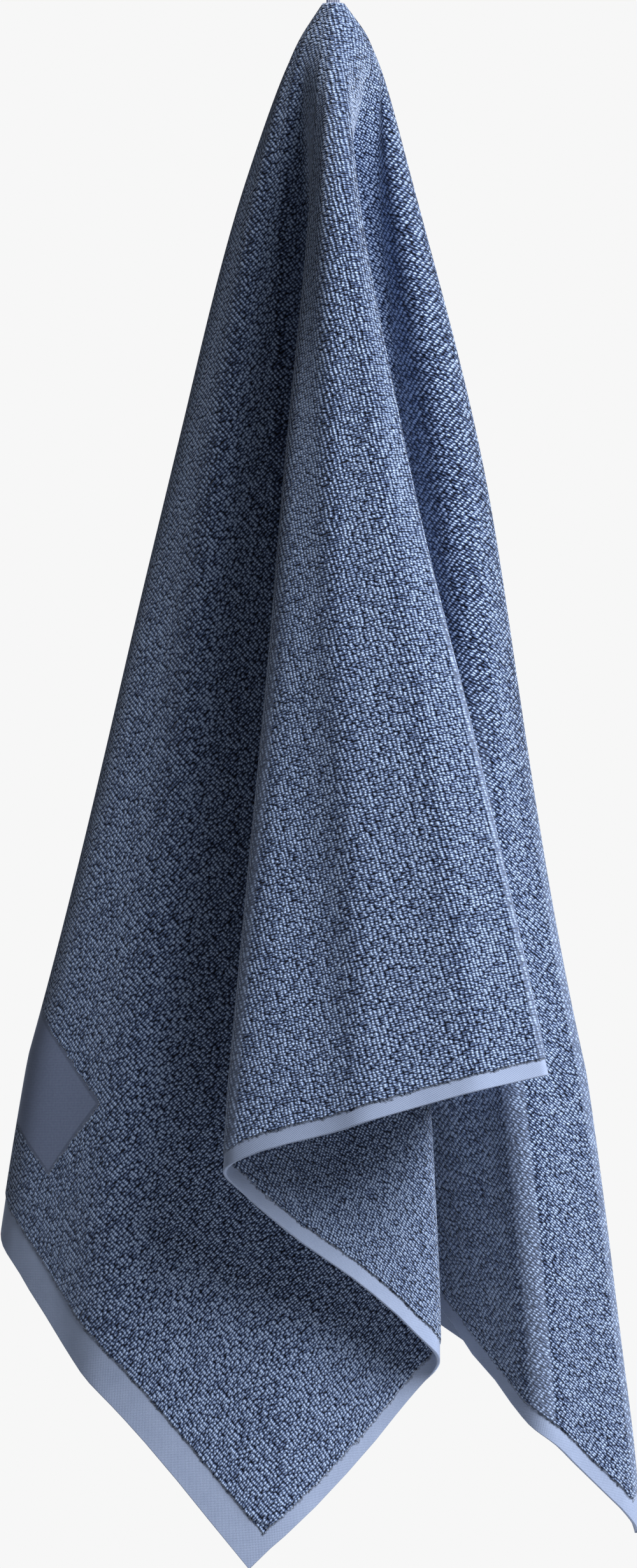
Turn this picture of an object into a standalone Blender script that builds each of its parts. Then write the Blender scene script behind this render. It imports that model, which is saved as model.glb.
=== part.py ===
"""A bath towel hanging by its sewn loop from a plain wall hook.

The wall is the plane y = 0, the room is on the -Y side and +Z is up. The origin is the centre of the
hook plate's back face. The towel is 700 mm by 1400 mm and hangs from the middle of one long side, so
every thread that leaves the hang point runs down a fan of 180 degrees. A row of the fold table says
where one fold of that fan lies at four distances down the towel.
"""

import math
from collections import namedtuple

import bmesh
import bpy
import numpy as np

MM = 0.001
COLLECTION = "bath_towel_on_hook"

# The cloth: half its length and its whole width are both 700 mm, so the fan reaches 700 mm to every side.
REACH = 0.700
TOP_RADIUS = 0.0112
SIDE_HEM = 0.010
END_HEM = 0.022
PILE_STEP = 0.0015
HANG_DEPTH = 62
HANG_DROP = 0.042
HANG_RADIUS = 0.010
CORNER_DRAW = 0.5
STEEPEST = 0.05

# Thickness of the cloth at distances from the hang point, both in metres.
GATHER_AT = (0.0105, 0.030, 0.060, 0.120)
GATHER_THICK = (0.0012, 0.0018, 0.0026, 0.0032)
HEM_THICK = 0.0020

# Bends are as tight as this many mm of radius for each metre from the hang point, within these limits.
BEND_GROWTH = 110
TIGHTEST_BEND = 3.8
NARROWEST_TURN = 0.8
WIDEST_TURN = 26.0

# Each fold: its angle in the fan in degrees, its bend radius in mm, and its place as (sideways, out from
# the wall) in mm at the four stations. A turn of 1 or -1 says which way a fold of half a turn goes round.
STATIONS = (0.03, 0.13, 0.30, 0.70)
Fold = namedtuple("Fold", "name fan bend crown high middle low turn")
FOLDS = (
    Fold("near_edge_left", 0, 20, (-3.5, 45.5), (-14, 15), (-2, 6.5), (28, 6.5), 0),
    Fold("edge_curl", 6, 4.5, (-6.5, 46.5), (-5, 21), (26, 10.5), (99, 10.5), 1),
    Fold("back_wave", 17, 90, (-11.5, 48.8), (-28.5, 25), (-33, 15), (-33, 14.5), 0),
    Fold("left_back", 26.5, 40, (-15.5, 52.5), (-47, 34), (-81.5, 19), (-150, 15.5), 0),
    Fold("left_edge", 30.2, 38, (-16, 55), (-53.5, 42), (-98, 32), (-194, 40), -1),
    Fold("left_crest", 38, 80, (-16.5, 59), (-46, 57.5), (-75.5, 62), (-131, 82), 0),
    Fold("left_valley", 46, 60, (-14.5, 63), (-31, 62), (-36, 66), (-30.5, 79), 0),
    Fold("inner_fold", 53.8, 15, (-11.5, 66), (-15, 62), (4, 61), (59.5, 65), 1),
    Fold("tongue_left", 68.5, 17, (-5, 70), (-12, 94), (-27, 116), (-64, 147), -1),
    Fold("tongue_crest", 76, 60, (-1, 71.5), (-4, 108), (-3.5, 137), (12, 176), 0),
    Fold("tongue_bow", 82, 40, (2, 71.5), (8, 109), (26, 138), (86, 177), 0),
    Fold("tongue_right", 86, 6, (4, 71), (13, 102), (42, 127), (131, 164), -1),
    Fold("hidden_bend", 98, 12, (9.5, 68.5), (10, 76), (35, 68), (62, 54), 0),
    Fold("hidden_sweep", 104, 20, (12, 66.5), (7, 62), (11, 47), (-14, 46), 0),
    Fold("hidden_fold", 111.5, 4.6, (14.7, 63.5), (3.5, 45.5), (-27, 41), (-92, 41), 1),
    Fold("right_rise", 124.5, 30, (17.5, 57.5), (30, 45), (42, 38), (57, 36.8), 0),
    Fold("right_crest", 130.5, 26, (17.5, 54), (40.5, 52), (71, 56), (114, 79), 0),
    Fold("right_edge", 135, 15, (17, 52), (48.5, 43.5), (90.5, 40), (160.5, 50), -1),
    Fold("right_back", 140, 20, (15, 49.8), (43.5, 32.5), (67, 23), (130.5, 23), 0),
    Fold("back_fold", 162, 4.6, (4.5, 45), (-2, 33), (-48, 26.5), (-135, 26.5), -1),
    Fold("near_edge_right", 180, 20, (1.5, 50.5), (36, 38.5), (44, 30.3), (72, 30.3), 0),
)

# How much longer than cut each thread hangs, in percent: a little by its weight, more on the bias, and
# less where its neighbours carry it.
Thread = namedtuple("Thread", "fan longer")
THREADS = (
    Thread(0, 1.3),
    Thread(30, 2.0),
    Thread(45, 2.15),
    Thread(50, 2.9),
    Thread(54, 2.3),
    Thread(58, 1.5),
    Thread(64, 1.9),
    Thread(70, 0.6),
    Thread(76, 1.5),
    Thread(86, 1.4),
    Thread(110, 1.0),
    Thread(120, -0.2),
    Thread(124.5, 0.0),
    Thread(127, 1.0),
    Thread(130, 1.8),
    Thread(135, 2.4),
    Thread(180, 1.3),
)

# How finely the fan is worked out, and how many columns and rows of faces the solid keeps.
FINE_FANS = 1441
LEVELS = 90
LEVEL_CROWDING = 1.5
BENDS_FULL_AT = 0.2
COLUMNS = 92
ROWS = 20
ROW_CROWDING = 1.6
PLAIN_SHARE = 0.35
CORNER_FANS = (45, 135)

# The loop: a flat woven tape over the hook's arm, its two ends lying face to face in the gathered cloth.
TAPE_WIDTH = 0.0086
TAPE_THICK = 0.0014
TAPE_GAP = 0.0003
TAPE_SEAT = 0.0004
TAPE_DEPTH = 0.0602
TAPE_END = 0.056
TAPE_TWIST_END = 0.034
TAPE_STEPS = 14
TAPE_TURNS = 10

# The hook: a round plate on the wall and a round arm that ends in a knob.
PLATE_RADIUS = 0.027
PLATE_THICK = 0.006
PLATE_EDGE = 0.0018
PLATE_SIDES = 48
SEAT_GAP = 0.0003
ARM_RADIUS = 0.005
ARM_REACH = 0.082
ARM_BEND = 0.016
ARM_RISE = 0.026
KNOB_RADIUS = 0.0085
ARM_BENDS = 7
KNOB_STEPS = 7
KNOB_END = 172
ARM_ROUNDNESS = 6

TERRY_BLUE = (0.105, 0.150, 0.255, 1.0)
TAPE_BLUE = (0.42, 0.46, 0.60, 1.0)
STEEL_GREY = (0.55, 0.55, 0.56, 1.0)


def clear_scene():
    """Remove what the startup scene holds."""
    for obj in list(bpy.data.objects):
        bpy.data.objects.remove(obj, do_unlink=True)


def make_material(name, colour, roughness, metallic):
    """A Principled material of one colour."""
    material = bpy.data.materials.new(name)
    material.use_nodes = True
    shader = material.node_tree.nodes["Principled BSDF"]
    shader.inputs["Base Color"].default_value = colour
    shader.inputs["Roughness"].default_value = roughness
    shader.inputs["Metallic"].default_value = metallic
    return material


def smooth_step(t):
    """0 below -0.5, 1 above 0.5 and an even curve between."""
    t = np.clip(t + 0.5, 0.0, 1.0)
    return 0.5 - 0.5 * np.cos(np.pi * t)


def between_stations(radius, values):
    """The value at a distance down the towel: a cubic through the four stations, level at both ends."""
    at = math.log(min(max(radius, STATIONS[0]), STATIONS[-1]))
    knots = [math.log(station) for station in STATIONS]
    tangents = [0.0 * values[0]]
    for i in range(1, len(knots) - 1):
        tangents.append((values[i + 1] - values[i - 1]) / (knots[i + 1] - knots[i - 1]))
    tangents.append(0.0 * values[0])
    i = max(k for k in range(len(knots) - 1) if knots[k] <= at)
    span = knots[i + 1] - knots[i]
    t = (at - knots[i]) / span
    start = (1 + 2 * t) * (1 - t) ** 2 * values[i] + t * (1 - t) ** 2 * span * tangents[i]
    end = t * t * (3 - 2 * t) * values[i + 1] + t * t * (t - 1) * span * tangents[i + 1]
    return start + end


def fold_places(radius):
    """Where each fold lies at this distance from the hang point: sideways and outwards of it, in mm."""
    places = []
    for fold in FOLDS:
        slopes = []
        for station, (x, depth) in zip(STATIONS, (fold.crown, fold.high, fold.middle, fold.low)):
            slopes.append(np.array((x, depth - HANG_DEPTH)) / station)
        place = between_stations(radius, slopes) * radius
        place[0] *= 1 - CORNER_DRAW * max(radius - STATIONS[-1], 0.0)
        places.append(place)
    return np.array(places)


def headings(places):
    """The direction of the cloth from each fold to the next, in degrees, without jumps of a full turn."""
    found = []
    for i, fold in enumerate(FOLDS[:-1]):
        step = places[i + 1] - places[i]
        here = math.degrees(math.atan2(step[1], step[0]))
        if found:
            turn = (here - found[-1] + 180) % 360 - 180
            if abs(turn) > 90 and fold.turn and turn * fold.turn < 0:
                turn += 360 * fold.turn
            here = found[-1] + turn
        found.append(here)
    return found


def eased(at, knots, values):
    """Values between knots, level at each knot."""
    before = np.clip(np.searchsorted(knots, at, side="right") - 1, 0, len(knots) - 2)
    share = (at - knots[before]) / (knots[before + 1] - knots[before])
    ease = share * share * (3 - 2 * share)
    return values[before] * (1 - ease) + values[before + 1] * ease


def cross_section(fans, radius):
    """The cloth's line at one distance from the hang point, bent softly and led through its folds."""
    places = fold_places(radius)
    runs = headings(places)
    heading = np.full(len(fans), runs[0])
    for fold, before, after in zip(FOLDS[1:-1], runs, runs[1:]):
        bend = np.clip(BEND_GROWTH * radius, TIGHTEST_BEND, fold.bend)
        width = abs(after - before) * bend * MM / radius
        width = np.clip(width, NARROWEST_TURN, WIDEST_TURN)
        heading += (after - before) * smooth_step((fans - fold.fan) / width)
    middle = np.radians(0.5 * (heading[1:] + heading[:-1]))
    step = np.radians(np.diff(fans)) * radius / MM
    line = np.zeros((len(fans), 2))
    line[1:, 0] = np.cumsum(np.cos(middle) * step)
    line[1:, 1] = np.cumsum(np.sin(middle) * step)
    fold_fans = np.array([fold.fan for fold in FOLDS], dtype=float)
    for axis in (0, 1):
        off = places[:, axis] - np.interp(fold_fans, fans, line[:, axis])
        line[:, axis] += eased(fans, fold_fans, off)
    return line, heading


def thread_levels():
    """Distances from the hang point at which the cloth is worked out, closer together near the top."""
    longest = REACH * math.sqrt(2)
    share = np.linspace(0, 1, LEVELS) ** LEVEL_CROWDING
    return HANG_RADIUS + (longest - HANG_RADIUS) * share


def fan_columns(fans, bending):
    """The angles that get a column of vertices: more where the cloth bends, and one at each corner."""
    weight = np.cumsum(bending)
    share = weight / weight[-1]
    share = (1 - PLAIN_SHARE) * share + PLAIN_SHARE * np.linspace(0, 1, len(fans))
    columns = np.interp(np.linspace(0, 1, COLUMNS), share, fans)
    for corner in CORNER_FANS:
        columns[np.argmin(abs(columns - corner))] = corner
    return columns


def hem_lines(fans):
    """For each angle: how far the thread runs to the terry's edge and to the cut edge, in metres."""
    sideways = np.maximum(abs(np.cos(np.radians(fans))), 1e-6)
    down = np.maximum(np.sin(np.radians(fans)), 1e-6)
    to_end, to_side = REACH / sideways, REACH / down
    edge = np.minimum(to_end, to_side)
    terry = np.minimum((REACH - END_HEM) / sideways, (REACH - SIDE_HEM) / down)
    return terry, edge


def draped_cloth():
    """Points [row, column, xyz] of the hanging cloth's middle surface, and its thickness, in metres."""
    levels = thread_levels()
    fans = np.linspace(0, 180, FINE_FANS)
    lines, bending = [], np.zeros(FINE_FANS)
    for radius in levels:
        line, heading = cross_section(fans, radius)
        lines.append(line * MM)
        bending += abs(np.gradient(heading)) * min(radius / BENDS_FULL_AT, 1.0)
    columns = fan_columns(fans, bending)
    lines = np.array(lines)
    sideways = np.array([np.interp(columns, fans, line[:, 0]) for line in lines])
    outwards = np.array([np.interp(columns, fans, line[:, 1]) for line in lines])
    bias = np.radians(columns)
    thread_fans, longer = (np.array(column, dtype=float) for column in zip(*THREADS))
    stretch = 1 + eased(columns, thread_fans, longer) / 100
    side_slope = np.gradient(sideways, levels, axis=0)
    out_slope = np.gradient(outwards, levels, axis=0)
    steep = np.sqrt(np.clip(stretch**2 - side_slope**2 - out_slope**2, STEEPEST, None))
    drop = np.zeros_like(sideways)
    drop[1:] = np.cumsum(0.5 * (steep[1:] + steep[:-1]) * np.diff(levels)[:, None], axis=0)

    terry, edge = hem_lines(columns)
    share = np.linspace(0, 1, ROWS) ** ROW_CROWDING
    radii = [TOP_RADIUS + (terry - PILE_STEP - TOP_RADIUS) * s for s in share]
    radii += [terry, edge]
    points, thickness = [], []
    for row, radius in enumerate(radii):
        x = [np.interp(radius[j], levels, sideways[:, j]) for j in range(COLUMNS)]
        y = [np.interp(radius[j], levels, outwards[:, j]) for j in range(COLUMNS)]
        z = [np.interp(radius[j], levels, drop[:, j]) for j in range(COLUMNS)]
        points.append(np.stack([x, -np.array(y) - HANG_DEPTH * MM, -np.array(z) - HANG_DROP], axis=1))
        full = np.interp(radius, GATHER_AT, GATHER_THICK)
        thickness.append(full if row < ROWS else np.minimum(full, HEM_THICK))
    return np.array(points), np.array(thickness)


def cloth_object(name, points, thickness, material):
    """A grid bent to the given points and given its thickness on both sides."""
    rows, columns = points.shape[:2]
    bm = bmesh.new()
    bmesh.ops.create_grid(bm, x_segments=columns - 1, y_segments=rows - 1, size=0.5)
    bm.verts.ensure_lookup_table()
    weights = bm.verts.layers.deform.verify()
    most = float(thickness.max())
    for vert in bm.verts:
        column = round((vert.co.x + 0.5) * (columns - 1))
        row = round((vert.co.y + 0.5) * (rows - 1))
        vert.co = points[row, column]
        vert[weights][0] = float(thickness[row, column]) / most
    for face in bm.faces:
        face.smooth = True
    mesh = bpy.data.meshes.new(name)
    bm.to_mesh(mesh)
    bm.free()
    obj = bpy.data.objects.new(name, mesh)
    obj.vertex_groups.new(name="thickness")
    solidify = obj.modifiers.new("thickness", "SOLIDIFY")
    solidify.thickness = most
    solidify.offset = 0
    solidify.vertex_group = "thickness"
    mesh.materials.append(material)
    return obj


def tape_points():
    """Points [row, column, xyz] of the loop's tape, from its front end over the arm to its back end."""
    apart_top = ARM_RADIUS + TAPE_SEAT + TAPE_THICK / 2
    apart_end = (TAPE_THICK + TAPE_GAP) / 2
    front_leg, over_arm, back_leg = [], [], []
    for i in range(TAPE_STEPS + 1):
        height = -TAPE_END * (1 - i / TAPE_STEPS)
        rise = max(1 + height / TAPE_TWIST_END, 0.0)
        ease = rise * rise * (3 - 2 * rise)
        turn = math.radians(90) * (1 - ease)
        apart = apart_end + (apart_top - apart_end) * ease
        out = np.array((math.cos(turn), math.sin(turn), 0.0)) * apart
        across = np.array((math.sin(turn), -math.cos(turn), 0.0))
        lift = np.array((0.0, 0.0, height))
        front_leg.append((lift - out, across))
        back_leg.append((lift + out, across))
    for i in range(1, TAPE_TURNS):
        angle = math.pi * i / TAPE_TURNS
        out = np.array((-math.cos(angle), 0.0, math.sin(angle))) * apart_top
        over_arm.append((out, np.array((0.0, -1.0, 0.0))))
    middle = np.array((0.0, -TAPE_DEPTH, 0.0))
    points = []
    for centre, across in front_leg + over_arm + back_leg[::-1]:
        points.append([middle + centre + across * side * TAPE_WIDTH / 2 for side in (-1, 0, 1)])
    return np.array(points)


def hook_plate(material):
    """A round plate with a softened front edge, its flat back on the wall."""
    bm = bmesh.new()
    bmesh.ops.create_cone(
        bm,
        cap_ends=True,
        segments=PLATE_SIDES,
        radius1=PLATE_RADIUS,
        radius2=PLATE_RADIUS,
        depth=PLATE_THICK,
    )
    front = [edge for edge in bm.edges if all(vert.co.z > 0 for vert in edge.verts)]
    bmesh.ops.bevel(bm, geom=front, offset=PLATE_EDGE, segments=3, profile=0.5, affect="EDGES", material=-1)
    mesh = bpy.data.meshes.new("hook_plate")
    bm.to_mesh(mesh)
    bm.free()
    mesh.materials.append(material)
    obj = bpy.data.objects.new("hook_plate", mesh)
    obj.rotation_euler = (math.radians(90), 0, 0)
    obj.location = (0, -PLATE_THICK / 2, 0)
    return obj


def arm_path():
    """(place, radius) along the arm: out from the plate, round the bend, up and round the knob."""
    straight = -ARM_REACH + ARM_BEND
    path = [((0, -PLATE_THICK - SEAT_GAP, 0), ARM_RADIUS), ((0, straight / 2, 0), ARM_RADIUS)]
    for i in range(ARM_BENDS + 1):
        angle = math.radians(90) * i / ARM_BENDS
        y = straight - ARM_BEND * math.sin(angle)
        path.append(((0, y, ARM_BEND - ARM_BEND * math.cos(angle)), ARM_RADIUS))
    neck = math.asin(ARM_RADIUS / KNOB_RADIUS)
    for i in range(KNOB_STEPS + 1):
        angle = neck + (math.radians(KNOB_END) - neck) * i / KNOB_STEPS
        z = ARM_RISE - KNOB_RADIUS * math.cos(angle)
        path.append(((0, -ARM_REACH, z), KNOB_RADIUS * math.sin(angle)))
    return path


def hook_arm(material):
    """A bevelled curve along the arm's path, swelling into the knob."""
    path = arm_path()
    curve = bpy.data.curves.new("hook_arm", "CURVE")
    curve.dimensions = "3D"
    curve.bevel_depth = 1.0
    curve.bevel_resolution = ARM_ROUNDNESS
    curve.use_fill_caps = True
    spline = curve.splines.new("POLY")
    spline.points.add(len(path) - 1)
    for point, (place, radius) in zip(spline.points, path):
        point.co = (*place, 1)
        point.radius = radius
    spline.use_smooth = True
    curve.materials.append(material)
    return bpy.data.objects.new("hook_arm", curve)


def main():
    clear_scene()
    collection = bpy.data.collections.new(COLLECTION)
    bpy.context.scene.collection.children.link(collection)
    terry = make_material("terry", TERRY_BLUE, 0.95, 0.0)
    tape = make_material("woven_tape", TAPE_BLUE, 0.8, 0.0)
    steel = make_material("satin_steel", STEEL_GREY, 0.35, 1.0)
    cloth, thickness = draped_cloth()
    loop = tape_points()
    loop_thickness = np.full(loop.shape[:2], TAPE_THICK)
    pieces = (
        cloth_object("towel", cloth, thickness, terry),
        cloth_object("hanging_loop", loop, loop_thickness, tape),
        hook_plate(steel),
        hook_arm(steel),
    )
    for piece in pieces:
        collection.objects.link(piece)


main()
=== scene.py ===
# %% [markdown]
# # A bath towel on a wall hook
#
# A terry towel hangs by its sewn loop from a round hook. Everything here is in metres, in the frame of
# the imported model: the wall is the plane y = 0, the room is on the -Y side, and +Z is up. The first
# cell loads the imported model, whose solids stay as they are.

import math
from collections import namedtuple

import bmesh
import bpy
import numpy as np
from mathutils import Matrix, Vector


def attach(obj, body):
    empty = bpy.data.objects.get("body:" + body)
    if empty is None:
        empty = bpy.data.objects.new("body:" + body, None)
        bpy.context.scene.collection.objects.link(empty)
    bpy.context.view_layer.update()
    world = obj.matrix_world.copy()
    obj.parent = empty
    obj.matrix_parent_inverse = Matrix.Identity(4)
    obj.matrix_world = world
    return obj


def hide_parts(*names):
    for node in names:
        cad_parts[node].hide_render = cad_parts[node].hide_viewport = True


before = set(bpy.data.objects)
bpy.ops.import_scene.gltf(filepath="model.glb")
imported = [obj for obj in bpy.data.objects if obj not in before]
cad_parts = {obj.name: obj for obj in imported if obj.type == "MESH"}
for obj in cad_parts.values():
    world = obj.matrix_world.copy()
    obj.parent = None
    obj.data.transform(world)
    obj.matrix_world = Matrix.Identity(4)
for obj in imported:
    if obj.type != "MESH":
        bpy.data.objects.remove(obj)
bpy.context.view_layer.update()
MM = 0.001

# %% [markdown]
# ## The camera
#
# The towel was seen from straight in front and a little below its middle, from about three metres. A
# camera looks along its own -Z, so a quarter turn about X makes it look along +Y. Its sensor's long
# side spans the tall side of the picture, so the lens follows from the height that the picture shows
# at the hang point's distance from the wall.

# %% Place the camera
HANG_DEPTH = 62
HANG_DROP = 0.042
CAMERA_AWAY = 3.200
CAMERA_SIDE = -0.0093
CAMERA_DROP = 0.4988
PICTURE_HEIGHT = 1.000

camera_data = bpy.data.cameras.new("camera")
camera_data.sensor_fit = "AUTO"
camera_data.sensor_width = 36.0
camera_data.lens = camera_data.sensor_width * CAMERA_AWAY / PICTURE_HEIGHT
camera = bpy.data.objects.new("camera", camera_data)
camera.location = (CAMERA_SIDE, -HANG_DEPTH * MM - CAMERA_AWAY, -HANG_DROP - CAMERA_DROP)
camera.rotation_euler = (math.radians(90), 0, 0)
bpy.context.scene.collection.objects.link(camera)
bpy.context.scene.camera = camera
print(f"lens {camera_data.lens:.0f} mm, {CAMERA_AWAY:.1f} m from the hang point")

# %% [markdown]
# ## The fan of threads
#
# The towel is 700 by 1400 mm and hangs from the middle of a long side. A straight line in the cloth
# from the hang point is called a thread here. The threads make a fan, so an angle in the fan and a
# distance from the hang point name each spot of the cloth. A row of this table is one fold: its angle,
# the radius that its bend opens to, where it lies at four distances down the towel, as millimetres
# sideways and out from the wall, and which way the cloth turns where it doubles back. A cloth
# simulation would drop into folds of its own, and these are the folds that this towel has.

# %% Name the folds
REACH = 0.700
SIDE_HEM = 0.010
END_HEM = 0.022
STATIONS = (0.03, 0.13, 0.30, 0.70)
Fold = namedtuple("Fold", "name fan bend crown high middle low turn")
FOLDS = (
    Fold("near_edge_left", 0, 20, (-3.5, 45.5), (-14, 15), (-2, 6.5), (28, 6.5), 0),
    Fold("edge_curl", 6, 4.5, (-6.5, 46.5), (-5, 21), (26, 10.5), (99, 10.5), 1),
    Fold("back_wave", 17, 90, (-11.5, 48.8), (-28.5, 25), (-33, 15), (-33, 14.5), 0),
    Fold("left_back", 26.5, 40, (-15.5, 52.5), (-47, 34), (-81.5, 19), (-150, 15.5), 0),
    Fold("left_edge", 30.2, 38, (-16, 55), (-53.5, 42), (-98, 32), (-194, 40), -1),
    Fold("left_crest", 38, 80, (-16.5, 59), (-46, 57.5), (-75.5, 62), (-131, 82), 0),
    Fold("left_valley", 46, 60, (-14.5, 63), (-31, 62), (-36, 66), (-30.5, 79), 0),
    Fold("inner_fold", 53.8, 15, (-11.5, 66), (-15, 62), (4, 61), (59.5, 65), 1),
    Fold("tongue_left", 68.5, 17, (-5, 70), (-12, 94), (-27, 116), (-64, 147), -1),
    Fold("tongue_crest", 76, 60, (-1, 71.5), (-4, 108), (-3.5, 137), (12, 176), 0),
    Fold("tongue_bow", 82, 40, (2, 71.5), (8, 109), (26, 138), (86, 177), 0),
    Fold("tongue_right", 86, 6, (4, 71), (13, 102), (42, 127), (131, 164), -1),
    Fold("hidden_bend", 98, 12, (9.5, 68.5), (10, 76), (35, 68), (62, 54), 0),
    Fold("hidden_sweep", 104, 20, (12, 66.5), (7, 62), (11, 47), (-14, 46), 0),
    Fold("hidden_fold", 111.5, 4.6, (14.7, 63.5), (3.5, 45.5), (-27, 41), (-92, 41), 1),
    Fold("right_rise", 124.5, 30, (17.5, 57.5), (30, 45), (42, 38), (57, 36.8), 0),
    Fold("right_crest", 130.5, 26, (17.5, 54), (40.5, 52), (71, 56), (114, 79), 0),
    Fold("right_edge", 135, 15, (17, 52), (48.5, 43.5), (90.5, 40), (160.5, 50), -1),
    Fold("right_back", 140, 20, (15, 49.8), (43.5, 32.5), (67, 23), (130.5, 23), 0),
    Fold("back_fold", 162, 4.6, (4.5, 45), (-2, 33), (-48, 26.5), (-135, 26.5), -1),
    Fold("near_edge_right", 180, 20, (1.5, 50.5), (36, 38.5), (44, 30.3), (72, 30.3), 0),
)

# How much longer than cut each thread hangs, in percent: a little by its weight, more on the bias, and
# less where its neighbours carry it.
Thread = namedtuple("Thread", "fan longer")
THREADS = (
    Thread(0, 1.3),
    Thread(30, 2.0),
    Thread(45, 2.15),
    Thread(50, 2.9),
    Thread(54, 2.3),
    Thread(58, 1.5),
    Thread(64, 1.9),
    Thread(70, 0.6),
    Thread(76, 1.5),
    Thread(86, 1.4),
    Thread(110, 1.0),
    Thread(120, -0.2),
    Thread(124.5, 0.0),
    Thread(127, 1.0),
    Thread(130, 1.8),
    Thread(135, 2.4),
    Thread(180, 1.3),
)
print(len(FOLDS), "folds, at", len(STATIONS), "distances down the towel")

# %% [markdown]
# ## From the table to a cross-section
#
# Between its four stations a fold's slope away from the hang point follows a cubic, so it curves
# without kinks. At one distance the cloth's line then runs from fold to fold and turns at each by a
# soft bend, which is tighter near the hang point where the cloth is gathered.


# %% Work out one cross-section
CORNER_DRAW = 0.5
BEND_GROWTH = 110
TIGHTEST_BEND = 3.8
NARROWEST_TURN = 0.8
WIDEST_TURN = 26.0


def smooth_step(t):
    """0 below -0.5, 1 above 0.5 and an even curve between."""
    t = np.clip(t + 0.5, 0.0, 1.0)
    return 0.5 - 0.5 * np.cos(np.pi * t)


def between_stations(radius, values):
    """The value at a distance down the towel: a cubic through the four stations, level at both ends."""
    at = math.log(min(max(radius, STATIONS[0]), STATIONS[-1]))
    knots = [math.log(station) for station in STATIONS]
    tangents = [0.0 * values[0]]
    for i in range(1, len(knots) - 1):
        tangents.append((values[i + 1] - values[i - 1]) / (knots[i + 1] - knots[i - 1]))
    tangents.append(0.0 * values[0])
    i = max(k for k in range(len(knots) - 1) if knots[k] <= at)
    span = knots[i + 1] - knots[i]
    t = (at - knots[i]) / span
    start = (1 + 2 * t) * (1 - t) ** 2 * values[i] + t * (1 - t) ** 2 * span * tangents[i]
    end = t * t * (3 - 2 * t) * values[i + 1] + t * t * (t - 1) * span * tangents[i + 1]
    return start + end


def fold_places(radius):
    """Where each fold lies at this distance from the hang point: sideways and outwards of it, in mm."""
    places = []
    for fold in FOLDS:
        slopes = []
        for station, (x, depth) in zip(STATIONS, (fold.crown, fold.high, fold.middle, fold.low)):
            slopes.append(np.array((x, depth - HANG_DEPTH)) / station)
        place = between_stations(radius, slopes) * radius
        place[0] *= 1 - CORNER_DRAW * max(radius - STATIONS[-1], 0.0)
        places.append(place)
    return np.array(places)


def headings(places):
    """The direction of the cloth from each fold to the next, in degrees, without jumps of a full turn."""
    found = []
    for i, fold in enumerate(FOLDS[:-1]):
        step = places[i + 1] - places[i]
        here = math.degrees(math.atan2(step[1], step[0]))
        if found:
            turn = (here - found[-1] + 180) % 360 - 180
            if abs(turn) > 90 and fold.turn and turn * fold.turn < 0:
                turn += 360 * fold.turn
            here = found[-1] + turn
        found.append(here)
    return found


def eased(at, knots, values):
    """Values between knots, level at each knot."""
    before = np.clip(np.searchsorted(knots, at, side="right") - 1, 0, len(knots) - 2)
    share = (at - knots[before]) / (knots[before + 1] - knots[before])
    ease = share * share * (3 - 2 * share)
    return values[before] * (1 - ease) + values[before + 1] * ease


def cross_section(fans, radius):
    """The cloth's line at one distance from the hang point, bent softly and led through its folds."""
    places = fold_places(radius)
    runs = headings(places)
    heading = np.full(len(fans), runs[0])
    for fold, before, after in zip(FOLDS[1:-1], runs, runs[1:]):
        bend = np.clip(BEND_GROWTH * radius, TIGHTEST_BEND, fold.bend)
        width = abs(after - before) * bend * MM / radius
        width = np.clip(width, NARROWEST_TURN, WIDEST_TURN)
        heading += (after - before) * smooth_step((fans - fold.fan) / width)
    middle = np.radians(0.5 * (heading[1:] + heading[:-1]))
    step = np.radians(np.diff(fans)) * radius / MM
    line = np.zeros((len(fans), 2))
    line[1:, 0] = np.cumsum(np.cos(middle) * step)
    line[1:, 1] = np.cumsum(np.sin(middle) * step)
    fold_fans = np.array([fold.fan for fold in FOLDS], dtype=float)
    for axis in (0, 1):
        off = places[:, axis] - np.interp(fold_fans, fans, line[:, axis])
        line[:, axis] += eased(fans, fold_fans, off)
    return line, heading


sample_line = cross_section(np.linspace(0, 180, 721), STATIONS[2])[0]
print(STATIONS[2], "m down, the cloth is", round(np.ptp(sample_line[:, 0])), "mm wide")

# %% [markdown]
# ## From cross-sections to a hanging cloth
#
# Sideways and outwards come from the sections. The drop comes from the cloth's own length: what a
# thread doesn't spend on going sideways it spends on going down. Threads on the bias, towards the
# corners, stretch a little. Columns of the grid crowd at the bends, and rows crowd at the top and at
# the hems, where the cloth changes most. PILE_ROWS says how many steps before the terry's edge its
# last rows lie, and PILE_THICK how much of the full thickness each has.

# %% Work out how the threads run
FINE_FANS = 2881
LEVELS = 120
LEVEL_CROWDING = 1.5
BENDS_FULL_AT = 0.2
COLUMNS = 262
PLAIN_SHARE = 0.45
CORNER_FANS = (45, 135)
HANG_RADIUS = 0.010
STEEPEST = 0.05


def fan_columns(fans, bending):
    """The angles that get a column of vertices: more where the cloth bends, and one at each corner."""
    weight = np.cumsum(bending)
    share = weight / weight[-1]
    share = (1 - PLAIN_SHARE) * share + PLAIN_SHARE * np.linspace(0, 1, len(fans))
    columns = np.interp(np.linspace(0, 1, COLUMNS), share, fans)
    for corner in CORNER_FANS:
        columns[np.argmin(abs(columns - corner))] = corner
    return columns


def hem_lines(fans):
    """For each angle: how far the thread runs to the terry's edge and to the cut edge, in metres."""
    sideways = np.maximum(abs(np.cos(np.radians(fans))), 1e-6)
    down = np.maximum(np.sin(np.radians(fans)), 1e-6)
    edge = np.minimum(REACH / sideways, REACH / down)
    terry = np.minimum((REACH - END_HEM) / sideways, (REACH - SIDE_HEM) / down)
    return terry, edge


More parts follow.
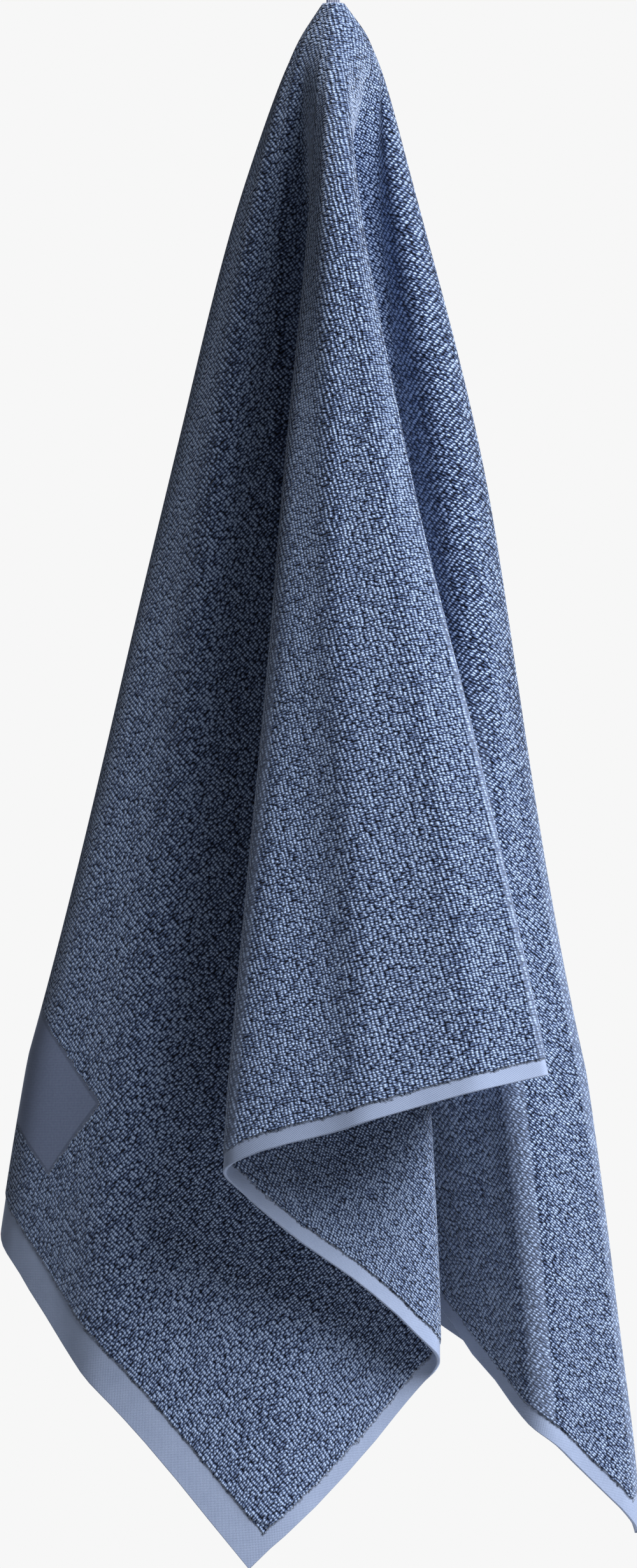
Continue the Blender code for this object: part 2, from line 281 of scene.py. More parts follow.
def section_grids(levels):
    """The columns' angles, then places sideways and outwards and the bend, by level and column."""
    fans = np.linspace(0, 180, FINE_FANS)
    lines, turning, bending = [], [], np.zeros(FINE_FANS)
    for radius in levels:
        line, heading = cross_section(fans, radius)
        lines.append(line * MM)
        turning.append(np.gradient(heading, fans) / radius)
        bending += abs(np.gradient(heading)) * min(radius / BENDS_FULL_AT, 1.0)
    columns = fan_columns(fans, bending)
    sideways = np.array([np.interp(columns, fans, line[:, 0]) for line in lines])
    outwards = np.array([np.interp(columns, fans, line[:, 1]) for line in lines])
    bend = np.array([np.interp(columns, fans, turn) for turn in turning])
    return columns, sideways, outwards, bend


def drop_grid(levels, columns, sideways, outwards):
    """How far each thread has come down at each level, from the length that is left to it."""
    thread_fans, longer = (np.array(column, dtype=float) for column in zip(*THREADS))
    stretch = 1 + eased(columns, thread_fans, longer) / 100
    side_slope = np.gradient(sideways, levels, axis=0)
    out_slope = np.gradient(outwards, levels, axis=0)
    steep = np.sqrt(np.clip(stretch**2 - side_slope**2 - out_slope**2, STEEPEST, None))
    drop = np.zeros_like(sideways)
    drop[1:] = np.cumsum(0.5 * (steep[1:] + steep[:-1]) * np.diff(levels)[:, None], axis=0)
    return drop


# %% Place the rows of the cloth
TOP_RADIUS = 0.0112
ROWS = 156
ROW_CROWDING = 1.25
PILE_STEP = 0.0011
PILE_ROWS = (2.2, 1.0, 0.3)
PILE_THICK = (1.0, 1.0, 0.96)
GATHER_AT = (0.0105, 0.030, 0.060, 0.120)
GATHER_THICK = (0.0012, 0.0020, 0.0030, 0.0036)
HEM_THICK = 0.0021
HEM_FLAT = 0.0009
HEM_ROUND = 0.0007


def row_radii(columns):
    """Each row's distance from the hang point at every column, from the gather to the cut edge."""
    terry, edge = hem_lines(columns)
    plain_end = terry - PILE_ROWS[0] * PILE_STEP
    share = np.linspace(0, 1, ROWS) ** ROW_CROWDING
    radii = [TOP_RADIUS + (plain_end - TOP_RADIUS) * s for s in share]
    radii += [terry - steps * PILE_STEP for steps in PILE_ROWS[1:]]
    return radii + [terry, terry + HEM_FLAT, edge - HEM_ROUND, edge]


def row_thickness(row, radius):
    """Thin in the gather, full in the terry, less at the terry's edge, and thin again in the hem."""
    full = np.interp(radius, GATHER_AT, GATHER_THICK)
    step = max(row - ROWS + 1, 0)
    if step < len(PILE_THICK):
        return full * PILE_THICK[step]
    return np.minimum(full, HEM_THICK)


def along_threads(radius, levels, grid):
    """The grid's value on each column's thread, at that thread's own distance from the hang point."""
    return np.array([np.interp(radius[j], levels, grid[:, j]) for j in range(COLUMNS)])


def hanging_cloth():
    """Points [row, column, xyz], thickness, flat places and bend of the cloth, in metres."""
    longest = REACH * math.sqrt(2)
    levels = HANG_RADIUS + (longest - HANG_RADIUS) * np.linspace(0, 1, LEVELS) ** LEVEL_CROWDING
    columns, sideways, outwards, bend = section_grids(levels)
    drop = drop_grid(levels, columns, sideways, outwards)
    bias = np.radians(columns)
    points, thickness, flat, bends = [], [], [], []
    for row, radius in enumerate(row_radii(columns)):
        x, y, z = (along_threads(radius, levels, grid) for grid in (sideways, outwards, drop))
        points.append(np.stack([x, -y - HANG_DEPTH * MM, -z - HANG_DROP], axis=1))
        thickness.append(row_thickness(row, radius))
        flat.append(np.stack([radius * np.cos(bias), radius * np.sin(bias)], axis=1))
        bends.append(along_threads(radius, levels, bend))
    return np.array(points), np.array(thickness), np.array(flat), np.array(bends)


cloth, cloth_thickness, cloth_flat, cloth_bend = hanging_cloth()
print("cloth grid", cloth.shape[:2], "lowest", round(float(cloth[..., 2].min()), 3))

# %% [markdown]
# ## Softening the folds
#
# A real towel isn't ironed onto its folds: it has shallow troughs, swells and a hem that ripples
# because its edge is sewn shorter than the cloth. Each row below is one soft ridge or trough, placed
# by its angle and distance in the fan, with its size and its height out of the cloth in millimetres.
# The hem's ripple is a sum of three waves, with their lengths in millimetres for one radian.

# %% Name the soft ridges and troughs
Swell = namedtuple("Swell", "name fan reach across along tilt height")
SWELLS = (
    Swell("tongue_trough_low", 74, 0.60, 26, 150, 6, -4.0),
    Swell("tongue_trough_high", 78, 0.34, 12, 120, -3, -1.6),
    Swell("tongue_right_swell", 83, 0.56, 20, 120, -8, 2.6),
    Swell("tongue_left_swell", 71, 0.42, 14, 140, 4, 1.8),
    Swell("left_panel_swell", 41, 0.86, 60, 90, 20, 4.5),
    Swell("left_panel_trough", 46, 0.72, 26, 160, -12, -4.5),
    Swell("left_shoulder_trough", 36, 0.45, 22, 150, 8, -2.6),
    Swell("left_corner_lift", 45, 0.96, 40, 40, 0, 3.0),
    Swell("inner_panel_swell", 61, 0.72, 30, 70, 25, 3.5),
    Swell("right_panel_trough", 127.5, 0.60, 20, 200, 6, -6.0),
    Swell("right_corner_curl", 134, 0.95, 18, 60, 0, 5.0),
    Swell("right_shoulder_swell", 132, 0.42, 14, 190, -2, 3.5),
)
HEM_RIPPLE = 0.0006
HEM_RIPPLE_REACH = 0.050
Wave = namedtuple("Wave", "length size start")
HEM_WAVES = (Wave(11.0, 1.0, 0.0), Wave(6.1, 0.7, 1.3), Wave(17.7, 0.5, 0.4))


def surface_normals(points):
    """The unit normal at each point of a grid, out of the side that faces the room in front."""
    down = np.gradient(points, axis=0)
    across = np.gradient(points, axis=1)
    normals = np.cross(down, across)
    return normals / np.maximum(np.linalg.norm(normals, axis=2, keepdims=True), 1e-12)


def soften(points, flat):
    """The cloth with its swells and its rippling hem, moved along its own normals."""
    lift = np.zeros(points.shape[:2])
    for swell in SWELLS:
        fan, turn = math.radians(swell.fan), math.radians(swell.tilt)
        off = (flat - swell.reach * np.array((math.cos(fan), math.sin(fan)))) / MM
        along = off @ np.array((math.cos(fan + turn), math.sin(fan + turn)))
        across = off @ np.array((-math.sin(fan + turn), math.cos(fan + turn)))
        lift += swell.height * MM * np.exp(-((along / swell.along) ** 2) - (across / swell.across) ** 2)
    to_hem = np.minimum(REACH - abs(flat[..., 0]), REACH - flat[..., 1])
    near = np.clip(1 - to_hem / HEM_RIPPLE_REACH, 0, 1) ** 2
    length = (flat[..., 0] - flat[..., 1]) / MM
    ripple = sum(wave.size * np.sin(length / wave.length + wave.start) for wave in HEM_WAVES)
    lift += HEM_RIPPLE * near * ripple
    return points + surface_normals(points) * lift[..., None]


cloth = soften(cloth, cloth_flat)
print(len(SWELLS), "swells")

# %% [markdown]
# ## Making a sheet
#
# A grid from bmesh gives the sheet its faces, and each vertex moves to its worked-out place. The flat
# place of each vertex, in metres on the cut cloth, becomes the UV map, so the weave later follows the
# threads. Solidify gives the sheet its thickness, less at the hems by way of a vertex group.


# %% Turn grids of points into sheets
def sheet_object(name, points, thickness, flat, attributes=()):
    """A grid bent to the given points, with its flat places as a UV map and its thickness on both sides."""
    rows, columns = points.shape[:2]
    bm = bmesh.new()
    bmesh.ops.create_grid(bm, x_segments=columns - 1, y_segments=rows - 1, size=0.5)
    weights = bm.verts.layers.deform.verify()
    flat_map = bm.loops.layers.uv.new("flat")
    values = [bm.verts.layers.float.new(key) for key, _ in attributes]
    most = float(thickness.max())
    places = {}
    for vert in bm.verts:
        column = round((vert.co.x + 0.5) * (columns - 1))
        row = round((vert.co.y + 0.5) * (rows - 1))
        places[vert] = (row, column)
        vert.co = points[row, column]
        vert[weights][0] = float(thickness[row, column]) / most
        for layer, (_, grid) in zip(values, attributes):
            vert[layer] = float(grid[row, column])
    for face in bm.faces:
        face.smooth = True
        for loop in face.loops:
            loop[flat_map].uv = flat[places[loop.vert]]
    mesh = bpy.data.meshes.new(name)
    bm.to_mesh(mesh)
    bm.free()
    obj = bpy.data.objects.new(name, mesh)
    obj.vertex_groups.new(name="thickness")
    solidify = obj.modifiers.new("thickness", "SOLIDIFY")
    solidify.thickness = most
    solidify.offset = 0
    solidify.vertex_group = "thickness"
    bpy.context.scene.collection.objects.link(obj)
    return obj


OPEN_BEND = 45
opening = np.clip(-cloth_bend / OPEN_BEND, 0, 1)
towel = sheet_object("towel_cloth", cloth, cloth_thickness, cloth_flat, [("row_opening", opening)])
print("towel_cloth has", len(towel.data.polygons), "faces before its thickness")

# %% [markdown]
# ## The loop and the hook
#
# The loop is a flat woven tape, sewn into the long side's hem and folded over the hook's arm. Its legs
# lie face to face where they leave the cloth, and turn a quarter round on their way up. The hook wasn't
# seen, so it stays the plain kind that such a towel hangs from: a turned plate on the wall and a round
# arm that ends in a knob. A spun profile gives the plate its soft edge, and a bevelled curve the arm.

# %% Make the loop's tape
ARM_RADIUS = 0.005
TAPE_WIDTH = 0.0086
TAPE_THICK = 0.0014
TAPE_GAP = 0.0003
TAPE_SEAT = 0.0004
TAPE_DEPTH = 0.0602
TAPE_END = 0.056
TAPE_TWIST_END = 0.034
TAPE_STEPS = 60
TAPE_TURNS = 24
TAPE_ACROSS = (-1, -0.86, -0.5, 0, 0.5, 0.86, 1)
TAPE_EDGE = (0.45, 0.9, 1, 1, 1, 0.9, 0.45)


def tape_rows():
    """(centre, across) along the tape, from its front end over the arm to its back end."""
    apart_top = ARM_RADIUS + TAPE_SEAT + TAPE_THICK / 2
    apart_end = (TAPE_THICK + TAPE_GAP) / 2
    front_leg, over_arm, back_leg = [], [], []
    for i in range(TAPE_STEPS + 1):
        height = -TAPE_END * (1 - i / TAPE_STEPS)
        rise = max(1 + height / TAPE_TWIST_END, 0.0)
        ease = rise * rise * (3 - 2 * rise)
        turn = math.radians(90) * (1 - ease)
        out = np.array((math.cos(turn), math.sin(turn), 0.0))
        out = out * (apart_end + (apart_top - apart_end) * ease)
        across = np.array((math.sin(turn), -math.cos(turn), 0.0))
        lift = np.array((0.0, 0.0, height))
        front_leg.append((lift - out, across))
        back_leg.append((lift + out, across))
    for i in range(1, TAPE_TURNS):
        angle = math.pi * i / TAPE_TURNS
        out = np.array((-math.cos(angle), 0.0, math.sin(angle))) * apart_top
        over_arm.append((out, np.array((0.0, -1.0, 0.0))))
    return front_leg + over_arm + back_leg[::-1]


middle = np.array((0.0, -TAPE_DEPTH, 0.0))
tape, tape_flat, tape_length = [], [], 0.0
rows = tape_rows()
for i, (centre, across) in enumerate(rows):
    if i:
        tape_length += float(np.linalg.norm(centre - rows[i - 1][0]))
    tape.append([middle + centre + across * side * TAPE_WIDTH / 2 for side in TAPE_ACROSS])
    tape_flat.append([(side * TAPE_WIDTH / 2, tape_length) for side in TAPE_ACROSS])
tape_thickness = np.tile(np.array(TAPE_EDGE) * TAPE_THICK, (len(rows), 1))
loop_tape = sheet_object("loop_tape", np.array(tape), tape_thickness, np.array(tape_flat))
print(f"loop_tape is {tape_length / MM:.0f} mm long before it is sewn in")

# %% Make the hook's plate
PLATE_RADIUS = 0.027
PLATE_THICK = 0.006
PLATE_EDGE = 0.0018
PLATE_EDGE_STEPS = 6
PLATE_SIDES = 96
SHARP_EDGE = 35

bm = bmesh.new()
profile = [(0.0, 0.0), (PLATE_RADIUS, 0.0), (PLATE_RADIUS, -PLATE_THICK + PLATE_EDGE)]
for i in range(1, PLATE_EDGE_STEPS + 1):
    angle = math.radians(90) * i / PLATE_EDGE_STEPS
    reach = PLATE_RADIUS - PLATE_EDGE + PLATE_EDGE * math.cos(angle)
    profile.append((reach, -PLATE_THICK + PLATE_EDGE - PLATE_EDGE * math.sin(angle)))
profile.append((0.0, -PLATE_THICK))
verts = [bm.verts.new((reach, y, 0.0)) for reach, y in profile]
edges = [bm.edges.new(pair) for pair in zip(verts, verts[1:])]
bmesh.ops.spin(
    bm,
    geom=verts + edges,
    cent=(0, 0, 0),
    axis=(0, 1, 0),
    angle=math.radians(360),
    steps=PLATE_SIDES,
    use_merge=True,
)
bmesh.ops.remove_doubles(bm, verts=bm.verts, dist=1e-6)
bmesh.ops.recalc_face_normals(bm, faces=bm.faces)
for face in bm.faces:
    face.smooth = True
for edge in bm.edges:
    edge.smooth = edge.calc_face_angle(math.pi) < math.radians(SHARP_EDGE)
plate_mesh = bpy.data.meshes.new("wall_plate")
bm.to_mesh(plate_mesh)
bm.free()
wall_plate = bpy.data.objects.new("wall_plate", plate_mesh)
bpy.context.scene.collection.objects.link(wall_plate)
print("wall_plate has", len(plate_mesh.polygons), "faces")

# %% Make the hook's arm
SEAT_GAP = 0.0003
ARM_REACH = 0.082
ARM_BEND = 0.016
ARM_RISE = 0.026
ARM_BENDS = 16
ARM_ROUNDNESS = 10
KNOB_RADIUS = 0.0085
KNOB_END = 177
KNOB_STEPS = 18

curve = bpy.data.curves.new("round_arm", "CURVE")
curve.dimensions = "3D"
curve.bevel_depth = 1.0
curve.bevel_resolution = ARM_ROUNDNESS
curve.use_fill_caps = True
straight = -ARM_REACH + ARM_BEND
arm_path = [((0, -PLATE_THICK - SEAT_GAP, 0), ARM_RADIUS), ((0, straight / 2, 0), ARM_RADIUS)]
for i in range(ARM_BENDS + 1):
    angle = math.radians(90) * i / ARM_BENDS
    y = straight - ARM_BEND * math.sin(angle)
    arm_path.append(((0, y, ARM_BEND - ARM_BEND * math.cos(angle)), ARM_RADIUS))
neck = math.asin(ARM_RADIUS / KNOB_RADIUS)
for i in range(KNOB_STEPS + 1):
    angle = neck + (math.radians(KNOB_END) - neck) * i / KNOB_STEPS
    z = ARM_RISE - KNOB_RADIUS * math.cos(angle)
    arm_path.append(((0, -ARM_REACH, z), KNOB_RADIUS * math.sin(angle)))
spline = curve.splines.new("POLY")
spline.points.add(len(arm_path) - 1)
for point, (place, radius) in zip(spline.points, arm_path):
    point.co = (*place, 1)
    point.radius = radius
spline.use_smooth = True
round_arm = bpy.data.objects.new("round_arm", curve)
bpy.context.scene.collection.objects.link(round_arm)
print("round_arm follows", len(arm_path), "points")

# %% [markdown]
# ## Writing a finish as sums
#
# A finish is a shader tree, and its patterns are sums of numbers that change over the surface. The
# small class below lets those sums be written as Python: each sign adds one Math node. Every other
# node comes from one method, which takes its kind, its settings and what goes into its sockets.


# %% Make the finish helpers
class Value:
    """A shader socket that can stand in a Python sum."""

    def __init__(self, finish, socket):
        self.finish, self.socket = finish, socket

    def sum(self, operation, *others):
        """One Math node of this operation."""
        inputs = dict(enumerate((self, *others)))
        return self.finish.node("ShaderNodeMath", {"operation": operation}, inputs)

    def __add__(self, other):
        return self.sum("ADD", other)

    def __sub__(self, other):
        return self.sum("SUBTRACT", other)

    def __mul__(self, other):
        return self.sum("MULTIPLY", other)

    def __truediv__(self, other):
        return self.sum("DIVIDE", other)

    def __rsub__(self, other):
        return self.finish.node("ShaderNodeMath", {"operation": "SUBTRACT"}, {0: other, 1: self})

    def least(self, other):
        return self.sum("MINIMUM", other)

    def most(self, other):
        return self.sum("MAXIMUM", other)

    def between(self, low, high):
        """0 below low, 1 above high and a smooth rise between."""
        settings = {"interpolation_type": "SMOOTHSTEP"}
        return self.finish.node("ShaderNodeMapRange", settings, {0: self, 1: low, 2: high})


class Finish:
    """A material and its node tree."""

    def __init__(self, name, roughness, metallic=0.0):
        self.material = bpy.data.materials.new(name)
        self.material.use_nodes = True
        self.tree = self.material.node_tree
        self.shader = self.tree.nodes["Principled BSDF"]
        self.set("Roughness", roughness)
        self.set("Metallic", metallic)

    def node(self, kind, settings=None, inputs=None, output=0):
        """A node of this kind: its settings first, then a value or a link in each named socket."""
        made = self.tree.nodes.new(kind)
        for key, value in (settings or {}).items():
            setattr(made, key, value)
        for key, value in (inputs or {}).items():
            self.join(made.inputs[key], value)
        return Value(self, made.outputs[output])

    def join(self, socket, value):
        """Links a Value to a socket, or sets the socket to a plain number, colour or vector."""
        if isinstance(value, Value):
            self.tree.links.new(value.socket, socket)
        else:
            socket.default_value = value

    def set(self, name, value):
        self.join(self.shader.inputs[name], value)

    def flat(self, axis):
        """A coordinate of the flat cut cloth, in millimetres, from the UV map."""
        uv = self.node("ShaderNodeUVMap", {"uv_map": "flat"})
        return self.node("ShaderNodeSeparateXYZ", {}, {0: uv}, axis) * 1000.0

    def vector(self, x, y, z=0.0):
        return self.node("ShaderNodeCombineXYZ", {}, {0: x, 1: y, 2: z})

    def noise(self, vector, scale, detail=2.0, roughness=0.5):
        inputs = {"Vector": vector, "Scale": scale, "Detail": detail, "Roughness": roughness}
        return self.node("ShaderNodeTexNoise", {"noise_dimensions": "3D"}, inputs)

    def cells(self, vector, randomness, output="Distance"):
        """Voronoi cells one unit across: the distance to each cell's middle, or its own colour."""
        inputs = {"Vector": vector, "Scale": 1.0, "Randomness": randomness}
        settings = {"voronoi_dimensions": "2D", "feature": "F1"}
        return self.node("ShaderNodeTexVoronoi", settings, inputs, output)

    def mix(self, share, first, second):
        """One colour to another as share goes from 0 to 1. Sockets 6 and 7 are the colours'."""
        inputs = {0: share, 6: first, 7: second}
        return self.node("ShaderNodeMix", {"data_type": "RGBA"}, inputs, output=2)

    def bump(self, height, depth, strength=1.0):
        """Turns a height from 0 to 1 into normals, at a depth in metres, and uses them."""
        inputs = {"Height": height, "Distance": depth, "Strength": strength}
        self.set("Normal", self.node("ShaderNodeBump", {}, inputs))


print("finish helpers ready")

# %% [markdown]
# ## The terry
#
# Terry is a ground weave with loops of pile standing on it, here in rows 2.65 mm apart. Both sides
# of the towel would take about half a million loops, so the rows are cells of a stretched Voronoi
# pattern on the flat map: the middle of a cell is a loop's top, high and painted pale as a highlight,
# and the gaps between cells are deep and painted dark as the shade between the loops. Where the
# cloth bends round a fold its rows open, and on the tightest folds below the shoulder the pile is
# flatter and painted paler as a sheen. The row_opening attribute carries the bend from the mesh. The
# hems are the bare weave, folded double, paler and smooth, with the pile standing over them in a
# ragged edge, and a band of painted shade lies along that edge and round the woven patch. Sizes in
# these patterns are millimetres on the flat cloth.

# %% Lay out the loops
ROW_PITCH = 2.65
LOOP_PITCH = 1.5
WANDER_SCALE = 0.09
JITTER_SCALE = 0.45
CLUMP_SCALE = 0.60
ROW_JITTER = 0.5
LOOP_JITTER = 0.6
LOOP_SCATTER = 0.55
RIM_BEND = (0.88, 1.0)
RIM_FROM = (320, 450)

terry = Finish("terry_loops", roughness=0.95)
s, t = terry.flat("X"), terry.flat("Y")
place = terry.vector(s, t)
wander = terry.noise(place, WANDER_SCALE, detail=3.0) - 0.5
jitter = terry.noise(place, JITTER_SCALE) - 0.5
rows_across = s / ROW_PITCH + wander + jitter * ROW_JITTER
loops_along = t / LOOP_PITCH + jitter * LOOP_JITTER
loop_place = terry.vector(rows_across, loops_along)
loops = terry.cells(loop_place, LOOP_SCATTER)
loop_colour = terry.cells(loop_place, LOOP_SCATTER, output="Color")
loop_shade = terry.node("ShaderNodeSeparateXYZ", {}, {0: loop_colour})
clumps = terry.noise(place, CLUMP_SCALE, detail=1.0, roughness=0.6)
bend_share = terry.node("ShaderNodeAttribute", {"attribute_name": "row_opening"}, output="Fac")
# The tight fold rims get a painted sheen, a paler pile colour, and a flatter bump.
sheen_rim = bend_share.between(*RIM_BEND) * t.between(*RIM_FROM)
row_wave = (rows_across * (2 * math.pi)).sum("COSINE") * 0.5 + 0.5
print("a loop every", ROW_PITCH, "by", LOOP_PITCH, "mm")

# %% Mask the hems and the woven patch
RAGGED_EDGE = 4.5
PLAIN_EDGE = (0.3, -0.3)
STEP_BAND = (-0.9, 0.6)
STEP_SOFT = 0.4
PATCH_S = (573.5, 637)
PATCH_T = (276, 427)
PATCH_RIM = 2.2
PATCH_RIM_SHADE = 0.6


def within(value, low, high, soft=0.5):
    """1 where the value lies between low and high, with soft edges."""
    return value.between(low - soft, low + soft) * value.between(high + soft, high - soft)


ragged = (jitter + wander) * RAGGED_EDGE
to_end = REACH / MM - s.sum("ABSOLUTE") + ragged
to_side = (REACH / MM - t).least(t) + ragged
pile_edge = (to_end - END_HEM / MM).least(to_side - SIDE_HEM / MM)
in_patch = within(s + ragged, *PATCH_S) * within(t + ragged, *PATCH_T)
patch_floor = within(s, PATCH_S[0] + PATCH_RIM, PATCH_S[1] - PATCH_RIM)
patch_floor = patch_floor * within(t, PATCH_T[0] + PATCH_RIM, PATCH_T[1] - PATCH_RIM)
plain = pile_edge.between(*PLAIN_EDGE).most(in_patch)
# A narrow band at the pile's step along the hems and round the patch's rim, painted dark as shade.
pile_step_shade = within(pile_edge, *STEP_BAND, STEP_SOFT).most((in_patch - patch_floor) * PATCH_RIM_SHADE)
print(f"hems of {SIDE_HEM / MM:.0f} and {END_HEM / MM:.0f} mm masked")

# %% Raise the loops
LOOP_SLOPE = 1.05
ROW_DIP = 0.2
GROUND_LIFT = 0.6
PILE_HEIGHT = 0.62
WEAVE_TURN = 4.4
WEAVE_HEIGHT = 0.04
TERRY_RELIEF = 0.0030
RIM_FLATTER = 0.3

loop_height = (1.0 - loops * LOOP_SLOPE).most(0.0)
loop_height = loop_height * (1.0 - row_wave * (bend_share * ROW_DIP + ROW_DIP))
weave = ((s * WEAVE_TURN).sum("SINE") * (t * WEAVE_TURN).sum("SINE")) * 0.5 + 0.5
height = (loop_height + GROUND_LIFT) * (1.0 - plain) * PILE_HEIGHT + weave * plain * WEAVE_HEIGHT
terry.bump(height, TERRY_RELIEF, 1.0 - sheen_rim * RIM_FLATTER)
print(f"loops raised by up to {TERRY_RELIEF / MM:.0f} mm")

# %% Colour the terry
# The gap colour is painted shade, the tip colour a painted highlight and the rim colour a painted sheen.
TERRY_GAP_SHADE = (0.002, 0.003, 0.009, 1.0)
TERRY_BODY = (0.086, 0.133, 0.282, 1.0)
TERRY_TIP_HIGHLIGHT = (0.500, 0.660, 0.990, 1.0)
TERRY_RIM_SHEEN = (0.330, 0.420, 0.640, 1.0)
HEM_BLUE = (0.370, 0.455, 0.665, 1.0)
HEM_SHADE = (0.240, 0.305, 0.475, 1.0)
PATCH_BLUE = (0.240, 0.298, 0.465, 1.0)
PATCH_SHADE = (0.120, 0.155, 0.260, 1.0)
SHEEN_BLUE = (0.62, 0.74, 1.0, 1.0)
GAP_SHADE_TONES = (0.26, 0.66)
TIP_HIGHLIGHT_TONES = (0.54, 1.02)
HEIGHT_SHADING = 1.2
LOOP_TONE = 0.3
CLUMP_TONE = 0.2
THREAD_SCALES = (0.5, 2.6)
HEM_TONE = 0.1
WEAVE_TONE = 0.3
THREAD_TONE = 0.6
WANDER_TONE = 0.5
RIM_SHEEN_SHARE = 0.3
STEP_SHADE = 0.5

# Colour follows loop height: painted shade in the gaps and a painted highlight on the tops, with random
# tone per loop and in clumps.
tone = loop_height * HEIGHT_SHADING + (loop_shade - 0.5) * LOOP_TONE + (clumps - 0.5) * CLUMP_TONE
pile = terry.mix(tone.between(*GAP_SHADE_TONES), TERRY_GAP_SHADE, TERRY_BODY)
pile = terry.mix(tone.between(*TIP_HIGHLIGHT_TONES), pile, TERRY_TIP_HIGHLIGHT)
pile = terry.mix(sheen_rim * RIM_SHEEN_SHARE, pile, TERRY_RIM_SHEEN)
thread_place = terry.vector(s * THREAD_SCALES[0], t * THREAD_SCALES[1])
threads = terry.noise(thread_place, 1.0, detail=1.0)
hem_tone = weave * WEAVE_TONE + threads * THREAD_TONE + wander * WANDER_TONE + HEM_TONE
woven = terry.mix(hem_tone, HEM_SHADE, HEM_BLUE)
patch = terry.mix(weave * 0.5 + clumps * 0.5, PATCH_SHADE, PATCH_BLUE)
surface = terry.mix(plain, pile, terry.mix(in_patch, woven, patch))
# Painted shade along the pile's step and the patch's rim.
terry.set("Base Color", terry.mix(pile_step_shade * STEP_SHADE, surface, TERRY_GAP_SHADE))
terry.set("Sheen Weight", 1.0)
terry.set("Sheen Roughness", 0.35)
terry.set("Sheen Tint", SHEEN_BLUE)
terry.set("Specular IOR Level", 0.12)
towel.data.materials.append(terry.material)
print("terry finish has", len(terry.tree.nodes), "nodes")

# %% [markdown]
# ## The tape and the steel
#
# The tape is a tight flat weave with ribs along it and a firm, darker edge. The hook is satin steel:
# its fine brushing runs level across the plate and along the arm, so the roughness changes in streaks
# and the colour doesn't.

# %% Finish the tape
TAPE_PALE = (0.40, 0.43, 0.56, 1.0)
TAPE_DARK = (0.19, 0.22, 0.34, 1.0)
RIB_TURN = 5.6
PICK_TURN = 7.0
PICK_LEAN = 1.6
EDGE_BAND = (3.2, 3.6)
RIB_SHARE = 0.6
TAPE_RELIEF = 0.0004
TAPE_TONES = (0.2, 1.0)

woven_tape = Finish("woven_tape", roughness=0.8)
across, along = woven_tape.flat("X"), woven_tape.flat("Y")
ribs = (across * RIB_TURN).sum("SINE") * 0.5 + 0.5
picks = (along * PICK_TURN + ribs * PICK_LEAN).sum("SINE") * 0.5 + 0.5
edge_band = across.sum("ABSOLUTE").between(*EDGE_BAND)
tape_height = ribs * RIB_SHARE + picks * (1 - RIB_SHARE)
woven_tape.bump(tape_height, TAPE_RELIEF)
uneven = woven_tape.noise(woven_tape.vector(across, along), 0.5)
share = (tape_height * 0.7 + uneven * 0.5 - edge_band * 0.2).between(*TAPE_TONES)
woven_tape.set("Base Color", woven_tape.mix(share, TAPE_DARK, TAPE_PALE))
loop_tape.data.materials.append(woven_tape.material)
print("tape finish has", len(woven_tape.tree.nodes), "nodes")

# %% Finish the hook
STEEL = (0.56, 0.56, 0.57, 1.0)
STEEL_ROUGHNESS = 0.2
STEEL_RELIEF = 0.00004
PLATE_STREAKS = (400, 40, 4000)
ARM_STREAKS = (3000, 120, 3000)
SMUDGE_SCALE = 60.0


def satin_steel(name, streaks):
    """Satin steel whose brushing is a noise stretched by these three scales along X, Y and Z."""
    steel = Finish(name, roughness=0.3, metallic=1.0)
    steel.set("Base Color", STEEL)
    place = steel.node("ShaderNodeTexCoord", output="Object")
    stretched = steel.node("ShaderNodeMapping", {}, {"Vector": place, "Scale": streaks})
    brushing = steel.noise(stretched, 1.0, detail=3.0)
    smudges = steel.noise(place, SMUDGE_SCALE)
    steel.set("Roughness", brushing * 0.16 + smudges * 0.12 + STEEL_ROUGHNESS)
    steel.bump(brushing, STEEL_RELIEF)
    return steel.material


plate_mesh.materials.append(satin_steel("satin_steel_plate", PLATE_STREAKS))
curve.materials.append(satin_steel("satin_steel_arm", ARM_STREAKS))
print("steel finishes made")

# %% [markdown]
# ## Seating the pieces
#
# Each new piece rides on the part's one body and stands for its imported solid, which is hidden.

for piece, node, slot in (
    (towel, "towel", "terry"),
    (loop_tape, "hanging_loop", "woven_tape"),
    (wall_plate, "hook_plate", "satin_steel"),
    (round_arm, "hook_arm", "satin_steel"),
):
    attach(piece, "root")
    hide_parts(node)
print("pieces seated")

# %% [markdown]
# ## Light and surroundings
#
# The daylight came through a large window on the right, high and in front, so each fold is bright on
# its right shoulder and falls into shade on its left. A wide area light stands there. The world is
# pale and soft and fills the shade. What shows behind the towel is an even, paler background, and a
# pale floor lies well below.

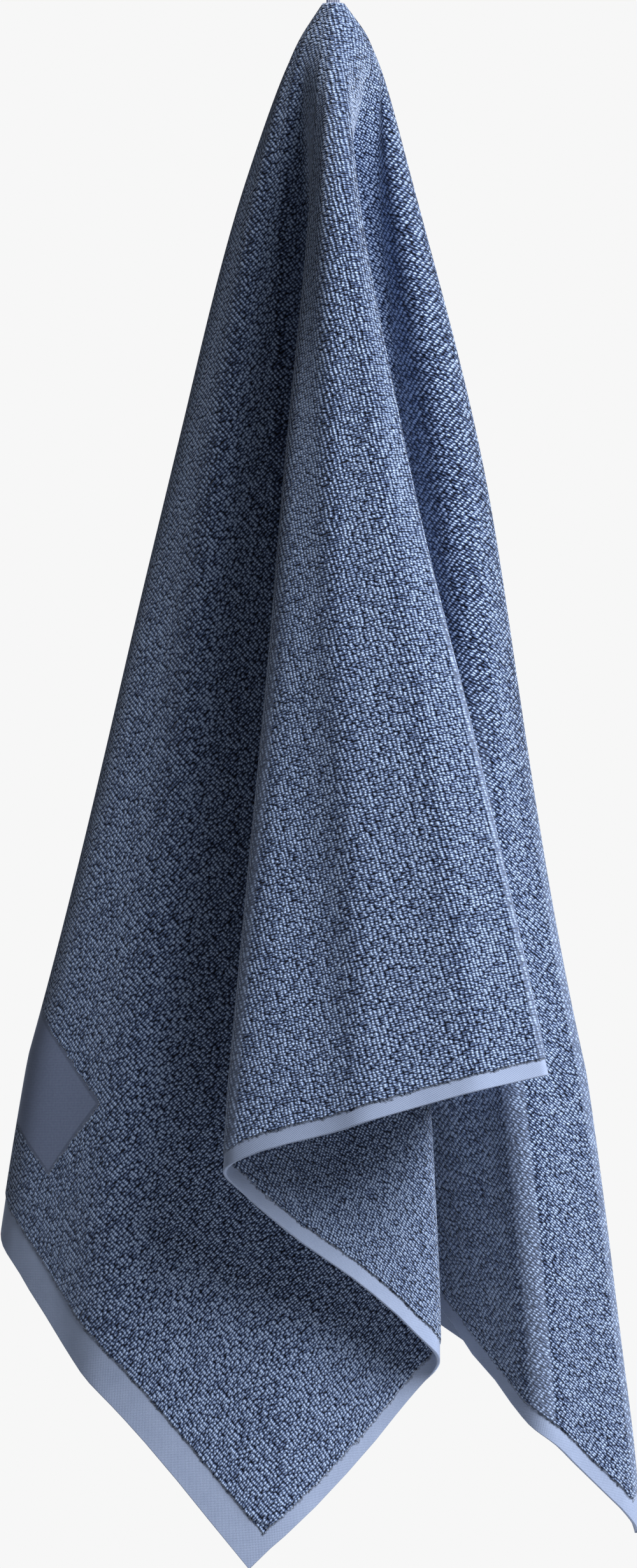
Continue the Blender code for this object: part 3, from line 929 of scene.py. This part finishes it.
# %% Light the scene
KEY_AIM = (0.0, -0.06, -0.50)
KEY_TURN = 60
KEY_RISE = 41
KEY_AWAY = 3.0
KEY_SIZE = 2.0
KEY_POWER = 214
KEY_COLOUR = (1.0, 0.985, 0.96)
SHADE_STRENGTH = 0.105
SHADE_COLOUR = (1.0, 0.97, 0.93, 1.0)
ROOM_COLOUR = (1.0, 1.0, 1.0, 1.0)
ROOM_BRIGHTNESS = 0.93
FLOOR_CENTRE = (0.0, -0.1, -1.60)
FLOOR_HALF = 1.2
FLOOR_COLOUR = (0.8, 0.8, 0.8, 1.0)

turn, rise = math.radians(KEY_TURN), math.radians(KEY_RISE)
towards = Vector((math.sin(turn) * math.cos(rise), -math.cos(turn) * math.cos(rise), math.sin(rise)))
window = bpy.data.lights.new("window_light", "AREA")
window.size = KEY_SIZE
window.energy = KEY_POWER
window.color = KEY_COLOUR
window_object = bpy.data.objects.new("window_light", window)
window_object.location = Vector(KEY_AIM) + towards * KEY_AWAY
window_object.rotation_euler = towards.to_track_quat("Z", "Y").to_euler()
bpy.context.scene.collection.objects.link(window_object)

world = bpy.data.worlds.new("studio")
bpy.context.scene.world = world
world.use_nodes = True
nodes, links = world.node_tree.nodes, world.node_tree.links
sky = nodes["Background"]
sky.inputs["Color"].default_value = SHADE_COLOUR
sky.inputs["Strength"].default_value = SHADE_STRENGTH
backdrop = nodes.new("ShaderNodeBackground")
backdrop.inputs["Color"].default_value = ROOM_COLOUR
backdrop.inputs["Strength"].default_value = ROOM_BRIGHTNESS
either = nodes.new("ShaderNodeMixShader")
links.new(nodes.new("ShaderNodeLightPath").outputs["Is Camera Ray"], either.inputs[0])
links.new(sky.outputs[0], either.inputs[1])
links.new(backdrop.outputs[0], either.inputs[2])
links.new(either.outputs[0], nodes["World Output"].inputs["Surface"])
bpy.context.scene.view_settings.view_transform = "Standard"

bm = bmesh.new()
bmesh.ops.create_grid(bm, x_segments=1, y_segments=1, size=FLOOR_HALF)
bmesh.ops.translate(bm, verts=bm.verts, vec=FLOOR_CENTRE)
floor_mesh = bpy.data.meshes.new("floor")
bm.to_mesh(floor_mesh)
bm.free()
floor = bpy.data.objects.new("floor", floor_mesh)
bpy.context.scene.collection.objects.link(floor)
pale = Finish("pale_floor", roughness=0.7)
pale.set("Base Color", FLOOR_COLOUR)
floor_mesh.materials.append(pale.material)
print("lights and floor placed")
